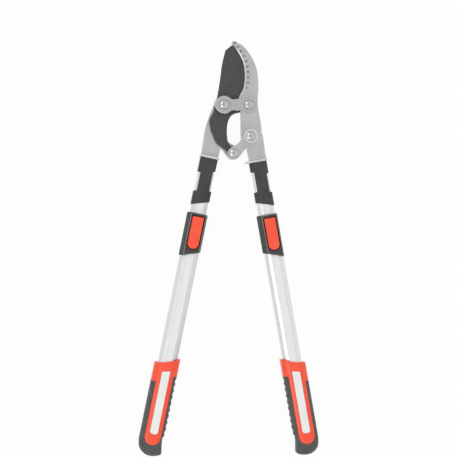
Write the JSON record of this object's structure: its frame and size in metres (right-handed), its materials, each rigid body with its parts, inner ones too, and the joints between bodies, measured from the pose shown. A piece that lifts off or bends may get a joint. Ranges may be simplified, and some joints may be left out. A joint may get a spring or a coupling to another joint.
{
  "type": "telescopic lopper",
  "caption": "Compound-action bypass lopper with a hooked jaw, a coated blade, two telescopic handles with rocker lock buttons, and soft finger grips.",
  "frame": {"origin": "on the surface that the tool lies on, under the middle of its bounding box, with the tool closed and pushed together", "axes": "+Y towards the jaws' tip along the tool, +Z out of the front face, +X to the right seen from the front"},
  "size_m": [0.305, 0.6966, 0.0393],
  "materials": {
    "blade_coat": "dark grey low-friction coating on steel",
    "satin_steel": "satin, bead blasted",
    "zinc": "bright zinc plated",
    "aluminium": "satin anodised",
    "dark_plastic": "fine grain moulding",
    "orange_plastic": "semi gloss",
    "soft_grip": "matt soft touch",
    "pale_plastic": "satin"
  },
  "bodies": {
    "fixed_side": {"blade": "blade_coat", "blade_bolt": "zinc", "blade_nut": "zinc", "blade_spacer": "zinc", "main_bolt": "zinc", "main_nut": "zinc", "main_spacer": "zinc", "left_bracket": "satin_steel", "left_inner_tube": "aluminium", "left_tube_pin_1": "zinc", "left_tube_pin_2": "zinc", "left_tube_plug": "dark_plastic", "left_tube_sleeve": "dark_plastic"},
    "straps": {"front_strap": "satin_steel", "rear_strap": "satin_steel", "hook_bolt": "zinc", "hook_nut": "zinc", "hook_bush": "zinc"},
    "hook_jaw": {"hook": "satin_steel"},
    "lever_side": {"right_bracket": "satin_steel", "lever_bolt": "zinc", "lever_washer": "zinc", "right_inner_tube": "aluminium", "right_tube_pin_1": "zinc", "right_tube_pin_2": "zinc", "right_tube_plug": "dark_plastic", "right_tube_sleeve": "dark_plastic"},
    "left_outer_handle": {"left_outer_tube": "aluminium", "left_lock_housing": "dark_plastic", "left_button_pin": "zinc", "left_button_spring": "zinc", "left_grip_core": "orange_plastic", "left_grip_overmould": "soft_grip", "left_grip_inlay": "pale_plastic"},
    "right_outer_handle": {"right_outer_tube": "aluminium", "right_lock_housing": "dark_plastic", "right_button_pin": "zinc", "right_button_spring": "zinc", "right_grip_core": "orange_plastic", "right_grip_overmould": "soft_grip", "right_grip_inlay": "pale_plastic"},
    "left_button": {"left_lock_button": "orange_plastic"},
    "right_button": {"right_lock_button": "orange_plastic"}
  },
  "joints": [
    {"name": "handle_opening", "type": "hinge", "parent": "fixed_side", "child": "lever_side", "pos_m": [0, 0.15897, 0.017], "axis": [0, 0, 1], "range_deg": [0, 56]},
    {"name": "strap_swing", "type": "hinge", "parent": "fixed_side", "child": "straps", "pos_m": [-0.0177, 0.24007, 0.017], "axis": [0, 0, 1], "range_deg": [-2, 0]},
    {"name": "hook_opening", "type": "hinge", "parent": "straps", "child": "hook_jaw", "pos_m": [0.0245, 0.24107, 0.017], "axis": [0, 0, 1], "range_deg": [-43, 0]},
    {"name": "left_handle_extension", "type": "slide", "parent": "fixed_side", "child": "left_outer_handle", "axis": [-0.1877, -0.9822, 0], "range_m": [0, 0.2]},
    {"name": "right_handle_extension", "type": "slide", "parent": "lever_side", "child": "right_outer_handle", "axis": [0.1877, -0.9822, 0], "range_m": [0, 0.2]},
    {"name": "left_lock_press", "type": "hinge", "parent": "left_outer_handle", "child": "left_button", "pos_m": [-0.0642, 0.02871, 0.0346], "axis": [0.9822, -0.1877, 0], "range_deg": [0, 5.5], "stiffness_Nm_per_rad": 0.3, "springref_deg": -5.73, "deforming": ["left_button_spring"]},
    {"name": "right_lock_press", "type": "hinge", "parent": "right_outer_handle", "child": "right_button", "pos_m": [0.0642, 0.02871, 0.0346], "axis": [0.9822, 0.1877, 0], "range_deg": [0, 5.5], "stiffness_Nm_per_rad": 0.3, "springref_deg": -5.73, "deforming": ["right_button_spring"]}
  ],
  "couplings": [
    {"joint": "strap_swing", "follows": "handle_opening", "ratio": -0.03},
    {"joint": "hook_opening", "follows": "handle_opening", "ratio": -0.76}
  ]
}
